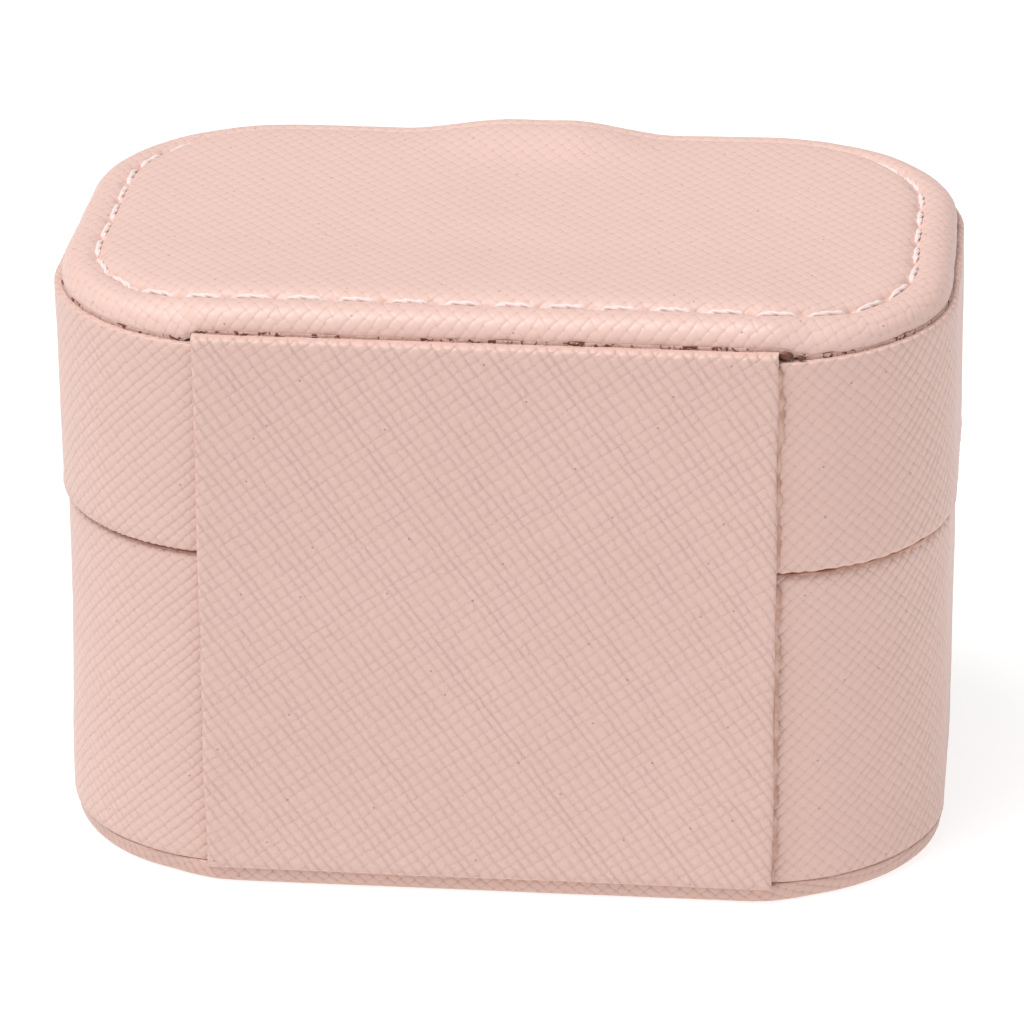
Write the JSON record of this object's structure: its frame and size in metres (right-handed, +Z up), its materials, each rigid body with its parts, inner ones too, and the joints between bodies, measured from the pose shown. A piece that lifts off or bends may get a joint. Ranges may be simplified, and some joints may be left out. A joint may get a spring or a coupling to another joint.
{
  "type": "jewellery case",
  "caption": "Small travel jewellery case in embossed leather: hinged lid with a padded stitched top, leather hinge strip, closure tab, ring rolls and lined compartments.",
  "frame": {"origin": "centre of the face that the case rests on", "axes": "+Z up; the lid opens at the front, -Y, and the hinge strip is at the back, +Y; +X is along the case's length, to the right seen from the front"},
  "size_m": [0.09, 0.0623, 0.0615],
  "materials": {
    "wrap_leather": "cross-hatch embossed, satin, blush pink",
    "board": "raw grey board",
    "lining": "short velvet pile",
    "ring_roll": "velvet over foam",
    "foam": "thin foam padding",
    "thread": "twisted sewing thread",
    "mirror": "polished",
    "steel": "plain",
    "button_metal": "polished pale gold"
  },
  "bodies": {
    "base": {"bottom_cover": "wrap_leather", "bottom_board": "board", "base_shell": "board", "base_wrap": "wrap_leather", "inner_collar": "lining", "floor_lining": "lining", "ring_block": "lining", "ring_roll_1": "ring_roll", "ring_roll_2": "ring_roll", "ring_roll_3": "ring_roll", "ring_roll_4": "ring_roll", "main_divider": "lining", "cross_divider": "lining", "keeper_plate": "steel", "hinge_strip_base": "wrap_leather"},
    "lid": {"lid_shell": "board", "lid_wrap": "wrap_leather", "lid_lining": "lining", "ceiling_pad": "lining", "mirror_frame": "wrap_leather", "mirror": "mirror", "hinge_strip_lid": "wrap_leather", "tab_anchor": "wrap_leather", "top_board": "board", "top_foam": "foam", "top_cover": "wrap_leather", "top_stitching": "thread"},
    "closure_tab": {"tab_back_leather": "wrap_leather", "tab_front_leather": "wrap_leather", "tab_magnet": "steel", "closure_button": "button_metal", "tab_stitching": "thread"}
  },
  "joints": [
    {"name": "lid_hinge", "type": "hinge", "parent": "base", "child": "lid", "pos_m": [0, 0.0298, 0.036], "axis": [-1, 0, 0], "range_deg": [0, 110]},
    {"name": "tab_hinge", "type": "hinge", "parent": "lid", "child": "closure_tab", "pos_m": [0, -0.0293, 0.0582], "axis": [-1, 0, 0], "range_deg": [0, 100]}
  ]
}
